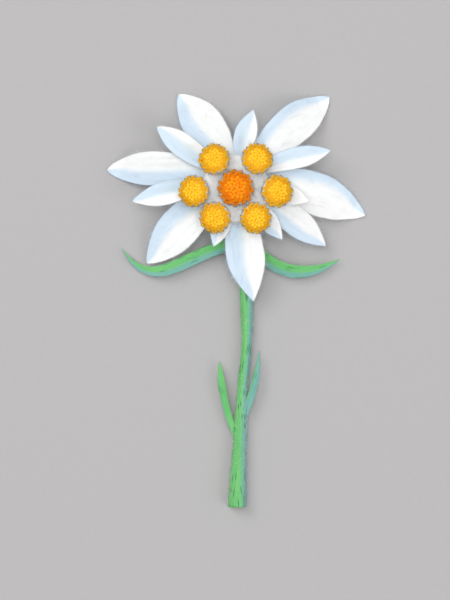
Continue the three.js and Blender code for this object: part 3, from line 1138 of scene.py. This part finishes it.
@dataclass
class Stem:
    """The cut stem, which lies along -Y and turns up under the head."""

    skin: Material
    pith: Material
    hair: Material
    leaf_skin: Material
    # x, y, height and radius from the cut end to the head
    line: tuple[tuple[float, float, float, float], ...] = (
        (0.0, -94.5, 2.6, 2.75),
        (0.45, -84.0, 2.3, 2.32),
        (0.95, -74.5, 2.25, 1.95),
        (1.2, -67.5, 2.3, 1.75),
        (1.6, -59.7, 2.35, 1.56),
        (2.8, -47.3, 2.35, 1.48),
        (2.8, -35.0, 2.35, 1.95),
        (2.3, -22.0, 2.45, 2.0),
        (1.2, -11.5, 2.5, 1.95),
        (0.35, -5.0, 2.75, 1.95),
        (0.0, -1.1, 4.3, 2.0),
        (0.0, 0.0, 6.6, 2.2),
    )
    # radius and height round the flank under the head
    flank: tuple[Pair, ...] = (
        (0.0, 4.9), (2.1, 5.0), (4.1, 6.2), (4.7, 7.5), (5.3, 8.9), (5.2, 9.25), (4.6, 9.4), (0.0, 9.4)
    )
    flank_sides: int = 40
    length: float = 103.0  # along its line, for the UV map
    rings: int = 190
    sides: int = 36
    # place along the stem and direction of each leaf's foot
    nodes: tuple[Pair, ...] = ((-72.6, math.pi), (-66.6, 0.0), (-17.7, math.pi), (-17.3, 0.0))
    swell: float = 0.42  # height of the swelling under a leaf
    inset: float = 0.02  # how far the skin lies inside the line's radius
    cut_zone: float = -50.0  # what lies beyond it along the stem belongs to the cut end
    skin_down: Fleece = Fleece(1500, (0.5, 1.2), (0.016, 0.03), 0.1, 0.3)
    flank_down: Fleece = Fleece(320, (0.6, 1.5), (0.016, 0.032), 0.12, 0.3)

    def swelling(self, y: float, angle: float) -> float:
        """How far the skin stands out under the foot of a leaf, in millimetres.

        Args:
            y: The place along the stem.
            angle: Round the stem, in radians from +X.

        Returns:
            The height of the swelling.
        """
        total = 0.0
        for middle, side in self.nodes:
            along = (y - middle) / (1.9 if y < middle else 2.6)
            facing = max(math.cos(angle - side), 0.0) ** 1.5
            total += self.swell * math.exp(-along * along) * facing
        return total

    def at(self, t: float) -> tuple[Vector, float]:
        """The middle line and the radius at a share t of the way from the cut end.

        Args:
            t: From 0 at the cut end to 1 under the head.

        Returns:
            The point and the radius, in millimetres.
        """
        knots = [Vector(row[:3]) for row in self.line]
        radii = [row[3] for row in self.line]
        knots = [knots[0] * 2 - knots[1], *knots, knots[-1] * 2 - knots[-2]]
        radii = [radii[0] * 2 - radii[1], *radii, radii[-1] * 2 - radii[-2]]
        span = t * (len(self.line) - 1)
        k = min(int(span), len(self.line) - 2)
        share = span - k
        points = knots[k : k + 4]
        times = [0.0]
        for first, second in zip(points, points[1:]):
            times.append(times[-1] + math.sqrt((second - first).length))
        when = mixed(times[1], times[2], share)
        level = points
        for low, width in ((0, 1), (0, 2), (1, 1)):
            level = [
                first.lerp(second, (when - times[i]) / (times[i + width] - times[i]))
                for i, (first, second) in enumerate(zip(level, level[1:]), low)
            ]
        a, b, c, d = radii[k : k + 4]
        radius = 0.5 * (2 * b + (c - a) * share + (2 * a - 5 * b + 4 * c - d) * share * share)
        radius += 0.5 * (3 * b - a - 3 * c + d) * share**3
        return level[0], radius

    def skin_point(self, t: float, angle: float) -> Vector:
        """A point of the stem's skin, with its shallow ribs and lumps.

        Args:
            t: Share of the way from the cut end.
            angle: Round the stem, in radians from +X.

        Returns:
            The point, in millimetres.
        """
        here, radius = self.at(t)
        way = (self.at(min(t + 0.002, 1.0))[0] - self.at(max(t - 0.002, 0.0))[0]).normalized()
        across = (Vector((1, 0, 0)) - way * way.x).normalized()
        up = across.cross(way)
        ribs = 0.035 * math.cos(7 * angle + 1.3 * math.sin(t * 9))
        lump = 0.05 * noise.noise(radial(1.2, angle, t * 40))
        plain = radius * (1.0 + (ribs + lump) * eased(1.0, 0.93, t)) - self.inset
        out = plain + self.swelling(here.y, angle)
        point = here + (across * math.cos(angle) + up * math.sin(angle)) * out
        point.z = max(point.z, LOWEST)
        return point

    def build(self) -> None:
        """Makes the stem's skin, its cut end, the flank under the head, and the hairs."""
        bm, spots = grid(self.rings, self.sides)
        lay_uv(bm, [(t * self.length, math.pi * self.at(t)[1] * v) for t, v in spots])
        flank = number_layer(bm, Layer.FLANK)
        for vert, (t, v) in zip(bm.verts, spots):
            angle = -math.pi / 2 + v * math.pi
            vert.co = self.skin_point(t, angle)
            # painted blue-green shade on the stem's right (+X) side
            side = math.cos(angle)
            vert[flank] = 0.5 + 0.5 * (side - mixed(0.55, 0.2, eased(0.0, 0.2, t)))
        bmesh.ops.remove_doubles(bm, verts=bm.verts[:], dist=ONE_POINT)
        self._close_ends(bm)
        bmesh.ops.recalc_face_normals(bm, faces=bm.faces[:])
        skin = as_piece("stem_skin", bm, [self.skin, self.pith], ["stem"])
        skin.data.set_sharp_from_angle(angle=math.radians(50))
        self._head_flank()
        Wool("wool_stem", "stem_green", self.hair, self._down(), joints=1).build()

    def _head_flank(self) -> None:
        """Makes the smooth flank that widens under the head."""
        bm = turned(self.flank, self.flank_sides)
        flank = number_layer(bm, Layer.FLANK)
        for vert in bm.verts:
            vert[flank] = 0.3
        lay_uv(bm, wrapped(bm, stretch=4.0))
        smoothed(as_piece("head_flank", bm, [self.skin], ["stem"]))

    def _close_ends(self, bm: BMesh) -> None:
        """Closes both ends of the tube and gives the cut end its rind and pith.

        Args:
            bm: The tube.
        """
        bare = number_layer(bm, Layer.BARE)
        open_edges = [edge for edge in bm.edges if edge.is_boundary]
        rim = [edge for edge in open_edges if edge.verts[0].co.y < self.cut_zone]
        middle = sum((edge.verts[0].co for edge in rim), Vector()) / len(rim)
        for edge in rim:
            for vert in edge.verts:
                vert[bare] = 1.0
        edges, last = rim, 1.0
        for share, bulge in ((0.96, 0.05), (0.8, 0.02), (0.66, 0.07), (0.4, 0.05), (0.12, 0.02)):
            edges, faces = drawn_out(bm, edges)
            for vert in {vert for edge in edges for vert in edge.verts}:
                vert.co = middle + (vert.co - middle) * (share / last)
                vert.co.y = middle.y - bulge
                vert[bare] = share
            for face in faces:
                face.material_index = 1
            last = share
        open_edges = [edge for edge in bm.edges if edge.is_boundary]
        for cap in bmesh.ops.edgeloop_fill(bm, edges=open_edges)["faces"]:
            if cap.calc_center_median().y < self.cut_zone:
                cap.material_index = 1

    def _down(self) -> list[Strand]:
        """Short pale hairs along the stem and on the flank.

        Returns:
            The hairs, in the order of their seeded draw.
        """
        rng = random.Random(7)
        hairs: list[Strand] = []
        for _ in range(self.skin_down.count):
            t, angle = rng.random() * 0.97, rng.uniform(-0.2, math.pi + 0.2)
            here, _ = self.at(t)
            skin = self.skin_point(t, angle)
            up = (skin - here).normalized()
            way = (self.at(min(t + 0.01, 1.0))[0] - here).normalized()
            turn = rng.gauss(0, 0.5)
            run = (way * math.cos(turn) + way.cross(up) * math.sin(turn) + up * 0.25).normalized()
            hairs.append(self.skin_down.hair(rng, skin - up * SUNK, run, up))
        (narrow, low), (wide, high) = self.flank[1], self.flank[4]
        for _ in range(self.flank_down.count):
            share, angle, turn = rng.random(), rng.uniform(0, math.tau), rng.gauss(0, 0.6)
            radius = mixed(narrow, wide, share**1.4) - 0.1
            root = radial(1.0, angle) * radius + Vector((0.0, 0.0, mixed(low, high, share)))
            out, around = radial(1.0, angle, -0.3).normalized(), tangent(angle)
            rise = out.cross(around)
            run = (rise * math.cos(turn) + around * math.sin(turn) + out * 0.3).normalized()
            hairs.append(self.flank_down.hair(rng, root, run, out))
        return hairs

    def leaves(self) -> dict[str, Blade]:
        """The four narrow leaves.

        Each row holds the root and the tip in plan, the width, where it is widest, bow, hook, the
        heights of the root and the tip, the phase, and the side and start of the painted blue-green
        shade.

        Returns:
            The blades by the names of their solids.
        """
        rows = (
            ("lower_left", (-0.4, -74.0), (-5.0, -52.3), 2.0, 0.7, 0.95, 0.0, 2.6, 1.9, 0.0, 1.0, 0.95),
            ("lower_right", (1.4, -69.5), (6.5, -49.1), 2.1, 0.36, -1.0, 0.0, 2.9, 2.5, 1.1, -1.0, -0.75),
            ("upper_left", (1.2, -17.6), (-33.5, -19.5), 3.8, 0.5, 2.0, 13.5, 2.7, 2.2, 2.2, 1.0, 0.15),
            ("upper_right", (3.0, -16.6), (30.0, -22.6), 3.8, 0.5, -6.5, 0.0, 2.7, 1.6, 3.3, -1.0, 0.15),
        )
        return {
            f"leaf_{name}": Blade(*sizes, LEAFY, phase, side, shaded)
            for name, *sizes, phase, side, shaded in rows
        }

    def build_leaves(self) -> None:
        """Makes the leaves and the hairs on them."""
        for k, (name, blade) in enumerate(self.leaves().items()):
            dress_blade(f"skin_{name}", name, blade, self.leaf_skin)
            Wool(f"wool_{name}", "leaf_green", self.hair, blade.coat(300 + k), joints=1).build()


# ----flower heads


@dataclass(frozen=True)
class Capitulum:
    """One flower head: where it stands and how it leans."""

    name: str
    x: float
    y: float
    size: float
    lean: float
    turn: float
    base_z: float

    def stand(self, middle: "Capitulum") -> Matrix:
        """Where the head stands and how it leans away from the middle one.

        Args:
            middle: The middle head.

        Returns:
            What takes a head at the origin to its place.
        """
        outward = math.atan2(self.y - middle.y, self.x - middle.x)
        return (
            Matrix.Translation((self.x, self.y, self.base_z))
            @ Matrix.Rotation(math.radians(self.lean), 4, tangent(outward))
            @ Matrix.Rotation(math.radians(self.turn), 4, "Z")
            @ Matrix.Scale(self.size, 4)
        )


@dataclass
class Cluster:
    """The seven flower heads on their felted receptacle."""

    gold: Material
    orange: Material
    felt: Material
    hair: Material
    heads: tuple[Capitulum, ...] = (
        Capitulum("middle", -0.4, -2.6, 1.16, 0, 0, 11.6),
        Capitulum("east", 10.6, -3.4, 1.03, 14, 9, 11.25),
        Capitulum("northeast", 5.3, 5.2, 1.0, 13, 21, 11.35),
        Capitulum("northwest", -6.1, 5.1, 1.0, 13, 4, 11.35),
        Capitulum("west", -11.6, -3.4, 1.0, 14, 15, 11.2),
        Capitulum("southwest", -5.9, -10.4, 1.0, 13, 28, 11.35),
        Capitulum("southeast", 4.9, -10.5, 1.0, 13, 12, 11.35),
    )
    # radius and height round each of these, from the axis to the axis
    receptacle: tuple[Pair, ...] = (
        (0.0, 9.6), (5.0, 9.65), (9.6, 10.15), (10.0, 10.5), (8.7, 11.8), (6.0, 12.7), (0.0, 12.9)
    )
    cup: tuple[Pair, ...] = (
        (0.0, 0.0), (1.9, 0.1), (3.3, 0.9), (3.95, 2.0), (3.9, 2.9), (3.5, 3.05), (0.0, 3.05)
    )
    dome: tuple[Pair, ...] = (
        (0.0, 3.15), (3.5, 3.2), (3.75, 3.5), (3.1, 4.0), (2.0, 4.3), (0.0, 4.45)
    )
    # count, radius, foot's height and length of the scales in each row of a cup
    scales: tuple[tuple[int, float, float, float], ...] = (
        (9, 3.6, 0.75, 1.4),
        (12, 3.88, 1.15, 1.5),
        (16, 4.1, 1.6, 1.65),
    )
    scale_thick: float = 0.1
    florets: int = 76
    open_from: int = 33
    spread: float = 3.72  # radius of the outermost florets' ring
    planted: float = 0.22  # how deep a floret stands in the dome
    cushion_brim: float = 8.6  # radius beyond which the cushion's hairs point outwards
    cushion_down: Fleece = Fleece(2800, (1.0, 2.8), (0.018, 0.036), 0.18, 0.75)
    cup_down: Fleece = Fleece(440, (0.6, 1.7), (0.016, 0.032), 0.3, 0.7)

    def _open_floret(self) -> bpy.types.Mesh:
        """One open floret: a tube that spreads in five pointed lobes, with a style in its throat.

        Returns:
            The floret, to be copied.
        """
        bm = bmesh.new()
        number_layer(bm, Layer.SHADE)
        bare = number_layer(bm, Layer.BARE)
        # radius, height and painted throat shade of each level of the tube
        levels = ((0.28, 0.0, 0.4), (0.33, 0.58, 0.1), (0.66, 0.95, 0.0), (0.24, 0.7, 0.45))
        bmesh.ops.create_circle(bm, cap_ends=True, segments=10, radius=1.0)
        edges = bm.edges[:]
        for level, (radius, height, dark) in enumerate(levels):
            if level:
                edges, _ = drawn_out(bm, edges)
            for vert in {vert for edge in edges for vert in edge.verts}:
                angle = math.atan2(vert.co.y, vert.co.x)
                lobe = 0.5 + 0.5 * math.sin(5 * angle)
                wide = radius * (mixed(0.6, 1.08, lobe) if level == 2 else 1.0)
                drop = 0.12 * (1 - lobe) if level == 2 else 0.0
                vert.co = radial(wide, angle, height - drop)
                vert[bare] = dark
        # the face that closes the tube deep in the throat is painted dark as shade
        for face in bmesh.ops.edgeloop_fill(bm, edges=edges)["faces"]:
            for vert in face.verts:
                vert[bare] = 0.75
        style = bmesh.ops.create_cone(
            bm, cap_ends=True, segments=5, radius1=0.06, radius2=0.11, depth=0.4
        )
        bmesh.ops.translate(bm, vec=(0, 0, 0.84), verts=style["verts"])
        bmesh.ops.recalc_face_normals(bm, faces=bm.faces[:])
        return kept(bm, "open_floret_model")

    def _bud(self) -> bpy.types.Mesh:
        """One floret still closed: a small five-ribbed knob.

        Returns:
            The floret, to be copied.
        """
        bm = bmesh.new()
        number_layer(bm, Layer.SHADE)
        bare = number_layer(bm, Layer.BARE)
        bmesh.ops.create_uvsphere(bm, u_segments=10, v_segments=5, radius=0.55)
        for vert in bm.verts:
            rib = 1 + 0.13 * math.cos(5 * math.atan2(vert.co.y, vert.co.x))
            dimple = eased(0.46, 0.55, vert.co.z)
            # painted shade under the bud and in the dimple on its top
            vert[bare] = max(0.5 * eased(-0.1, -0.4, vert.co.z), 0.3 * dimple)
            vert.co = (vert.co.x * rib, vert.co.y * rib, 0.44 + vert.co.z - 0.15 * dimple)
        return kept(bm, "bud_model")

    def _seat(self, rank: int) -> tuple[float, float, float, float]:
        """Where a floret sits on the dome.

        Args:
            rank: Its number, counted from the middle.

        Returns:
            Its radius, direction in radians, height, and lean in degrees.
        """
        share = math.sqrt((rank + 0.5) / self.florets)
        turn = rank * math.pi * (3 - math.sqrt(5))  # so many golden angles
        return self.spread * share, turn, 4.42 - share**2.6, 52 * share**1.7

    def _sow(self, bm: BMesh, head: Capitulum, model: bpy.types.Mesh, ranks: range) -> None:
        """Sets florets of one kind on a head's dome.

        Args:
            bm: The head's mesh, to which they are added.
            head: The head, whose name seeds the draw.
            model: The floret to be copied.
            ranks: The seats to be filled, counted from the middle.
        """
        rng = random.Random(f"{head.name} {model.name}")
        sown, groups = copies(model, len(ranks))
        shade = number_layer(sown, Layer.SHADE)
        for rank, verts in zip(ranks, groups):
            radius, turn, height, lean = self._seat(rank)
            share = rank / self.florets
            foot = height - self.planted + rng.uniform(-0.07, 0.07)
            stand = (
                Matrix.Rotation(turn, 4, "Z")
                @ Matrix.Translation((radius, 0, foot))
                @ Matrix.Rotation(math.radians(lean + rng.uniform(-6, 6)), 4, "Y")
                @ Matrix.Rotation(rng.uniform(0, math.tau), 4, "Z")
                @ Matrix.Scale(mixed(0.86, 1.02, share) * rng.uniform(0.95, 1.06), 4)
            )
            tone = rng.random() * 0.6 + 0.2 * (1 - share)
            for vert in verts:
                vert.co = stand @ vert.co
                vert[shade] = tone
        poured(sown, bm)

    def _florets(self, head: Capitulum, bud: bpy.types.Mesh, opened: bpy.types.Mesh) -> None:
        """Sets a head's florets on their dome and makes them one piece.

        Args:
            head: The head.
            bud: The closed floret to be copied.
            opened: The open floret to be copied.
        """
        bm = turned(self.dome, 32)
        shade, bare = number_layer(bm, Layer.SHADE), number_layer(bm, Layer.BARE)
        for vert in bm.verts:
            # painted shade: the dome that shows between the florets is darkened
            vert[shade], vert[bare] = 0.7, 0.2  # the dome is dark between the florets
        self._sow(bm, head, bud, range(self.open_from))
        self._sow(bm, head, opened, range(self.open_from, self.florets))
        bm.transform(head.stand(self.heads[0]))
        is_middle = head is self.heads[0]
        finish = self.orange if is_middle else self.gold
        as_piece(f"disc_{head.name}", bm, [finish], [f"florets_{head.name}"])

    def _scale(self, turn: float, radius: float, foot: float, tall: float) -> BMesh:
        """One pointed scale of a cup.

        Args:
            turn: Its direction from the cup's axis, in radians.
            radius: How far from the axis it stands.
            foot: The height of its foot.
            tall: Its length.

        Returns:
            The scale, closed all round.
        """
        bm, spots = grid(7, 4)
        bare = number_layer(bm, Layer.BARE)
        for vert, (u, v) in zip(bm.verts, spots):
            half = 0.70 * math.sin(math.pi * mixed(0.25, 1.0, u)) ** 0.9 + 0.02
            out = radius + 0.52 * u**3 - 0.35 * (1 - u) ** 2 + 0.09 * (1 - v * v)
            vert.co = radial(out, turn + v * half / radius, foot + u * tall)
            vert[bare] = eased(0.66, 0.92, u + 0.16 * abs(v))
        bmesh.ops.solidify(bm, geom=bm.faces[:], thickness=self.scale_thick)
        bmesh.ops.recalc_face_normals(bm, faces=bm.faces[:])
        return bm

    def _cup(self, head: Capitulum) -> None:
        """Makes a head's felted cup with its rows of pointed scales.

        Args:
            head: The head, whose name seeds the draw.
        """
        rng = random.Random(f"cup {head.name}")
        bm = turned(self.cup, 36)
        number_layer(bm, Layer.BARE)
        for row, (count, radius, foot, tall) in enumerate(self.scales):
            for k in range(count):
                turn = math.tau * (k + 0.5 * row + rng.uniform(-0.12, 0.12)) / count
                poured(self._scale(turn, radius, foot, tall * rng.uniform(0.9, 1.08)), bm)
        lay_uv(bm, wrapped(bm))
        bm.transform(head.stand(self.heads[0]))
        as_piece(f"felt_cup_{head.name}", bm, [self.felt], [f"cup_{head.name}"])

    def _cup_wool(self, head: Capitulum) -> list[Strand]:
        """Hairs that stand out from a cup's wall.

        Args:
            head: The cup's head, whose name seeds the draw.

        Returns:
            The hairs.
        """
        rng = random.Random(f"wool {head.name}")
        stand = head.stand(self.heads[0])
        turn_only = stand.to_3x3().normalized()
        hairs: list[Strand] = []
        for _ in range(self.cup_down.count):
            angle, height = rng.uniform(0, math.tau), rng.uniform(0.6, 3.1)
            radius = 3.3 + 0.75 * eased(0.6, 2.0, height)
            out, around, swing = radial(1.0, angle), tangent(angle), rng.gauss(0, 0.9)
            level, rise = around * math.sin(swing), Vector((0, 0, 1)) * math.cos(swing)
            run = turn_only @ (level + rise + out * 0.5).normalized()
            root = stand @ (out * radius + Vector((0, 0, height)))
            hairs.append(self.cup_down.hair(rng, root, run, turn_only @ out))
        return hairs

    def _receptacle(self) -> None:
        """Makes the felted cushion between the heads."""
        bm = turned(self.receptacle, 56)
        for vert in bm.verts:
            vert.co += Vector((0, 0, 0.12 * noise.noise(vert.co * 0.9)))
        lay_uv(bm, [(vert.co.x, vert.co.y) for vert in bm.verts])
        bm.transform(Matrix.Translation(RECEPTACLE_CENTRE))
        smoothed(as_piece("felt_receptacle", bm, [self.felt], ["receptacle"]))

    def _cushion_wool(self) -> list[Strand]:
        """Hairs all over the cushion, apart from where the heads stand.

        Returns:
            The hairs, in the order of their seeded draw.
        """
        rng = random.Random(11)
        hairs: list[Strand] = []
        while len(hairs) < self.cushion_down.count:
            radius, angle = 9.85 * rng.random() ** 0.4, rng.uniform(0, math.tau)
            height = 12.75 - 2.15 * eased(4.8, 10.4, radius)
            root = RECEPTACLE_CENTRE + radial(radius, angle, height)
            if any(math.dist(root.xy, (head.x, head.y)) < 3.3 * head.size for head in self.heads):
                continue
            turn, steep = rng.uniform(0, math.tau), rng.uniform(0.1, 1.3)
            if radius > self.cushion_brim:
                turn, steep = angle + rng.gauss(0, 0.7), rng.uniform(-0.25, 0.3)
            run = radial(1.0, turn, steep).normalized()
            up = -tangent(turn).cross(run).normalized()
            hairs.append(self.cushion_down.hair(rng, root, run, up))
        return hairs

    def build(self) -> None:
        """Makes the receptacle with its wool, and every flower head."""
        self._receptacle()
        Wool("wool_receptacle", "cup_wool", self.hair, self._cushion_wool()).build()
        bud, opened = self._bud(), self._open_floret()
        for head in self.heads:
            self._florets(head, bud, opened)
            self._cup(head)
            Wool(f"wool_cup_{head.name}", "cup_wool", self.hair, self._cup_wool(head)).build()
        bpy.data.meshes.remove(bud)
        bpy.data.meshes.remove(opened)


# ----studio


@dataclass(frozen=True)
class Lamp:
    """A soft square light that looks at the flower: its place and side in metres, and its watts."""

    name: str
    place: tuple[float, float, float]
    size: float
    watts: float

    def hang(self) -> None:
        """Adds the light to the scene."""
        light = bpy.data.lights.new(self.name, "AREA")
        light.shape, light.size, light.energy = "SQUARE", self.size, self.watts
        lamp = added(self.name, light)
        lamp.location = self.place
        lamp.rotation_mode = "QUATERNION"
        lamp.rotation_quaternion = (LIT - Vector(self.place)).to_track_quat("-Z", "Y")


@dataclass
class Studio:
    """The plain ground, the soft lights and the camera straight above."""

    lamps: tuple[Lamp, ...] = (
        Lamp("key", (-0.80, 0.70, 1.20), 0.80, 8.9),
        Lamp("fill", (0.95, -0.55, 1.05), 0.9, 6.2),
        Lamp("top", (-0.05, 0.08, 1.70), 0.9, 15.2),
    )
    sky: float = 0.29  # strength of the white sky
    ground_half: float = 3.0  # half the ground's side, in metres
    lens: float = 135.0
    sensor: float = 36.0
    view_height: float = 174.0  # what the upright picture takes in from top to bottom, at focus_z
    view_centre: Pair = (-3.48, -34.51)
    focus_z: float = 4.0

    def _ground(self) -> None:
        """Makes the plain pale ground."""
        bm = bmesh.new()
        bmesh.ops.create_grid(bm, x_segments=2, y_segments=2, size=self.ground_half)
        mesh = kept(bm, "ground")
        mesh.materials.append(Backdrop().material())
        ground = added("ground", mesh)

    def _camera(self) -> None:
        """Places the camera straight above, with the stem down the picture."""
        data = bpy.data.cameras.new("above")
        data.lens, data.sensor_width = self.lens, self.sensor
        camera = added("above", data)
        distance = self.lens * self.view_height / self.sensor
        camera.location = placed(Vector((*self.view_centre, self.focus_z + distance)))
        bpy.context.scene.camera = camera

    def build(self) -> None:
        """Sets up the ground, the lights, the sky and the camera."""
        self._ground()
        for lamp in self.lamps:
            lamp.hang()
        scene = bpy.context.scene
        scene.world = bpy.data.worlds.new("sky")
        scene.world.use_nodes = True
        sky = scene.world.node_tree.nodes["Background"]
        sky.inputs[0].default_value = (1.0, 1.0, 1.0, 1.0)
        sky.inputs[1].default_value = self.sky
        scene.view_settings.view_transform = "Standard"
        self._camera()


def main() -> None:
    """Builds the flower and its studio, in order."""
    logging.basicConfig(level=logging.INFO, format="%(name)s %(message)s", stream=sys.stdout)
    felt = Felt("bract_felt").material()
    cup_felt = Felt("cup_felt", tissue=(0.13, 0.06, 0.02), tissue_share=1.0, patchy=0.25).material()
    hair = Hair("wool_hair").material()
    skin = Green("stem_skin").material()
    leaf_skin = Green("leaf_skin", streaks=0.6).material()
    pith = CutPith("cut_pith").material()
    # throat gives each head's colour of painted shade
    gold = Pollen(
        "gold_florets", bright=(0.98, 0.64, 0.03), deep=(0.98, 0.535, 0.016), throat=(0.74, 0.28, 0.008)
    ).material()
    orange = Pollen(
        "orange_florets", bright=(0.93, 0.36, 0.003), deep=(0.93, 0.27, 0.002), throat=(0.70, 0.14, 0.002)
    ).material()
    Studio().build()
    Star(felt, hair).build()
    Cluster(gold, orange, cup_felt, hair).build()
    stem = Stem(skin, pith, hair, leaf_skin)
    stem.build()
    stem.build_leaves()


if __name__ == "__main__":
    main()
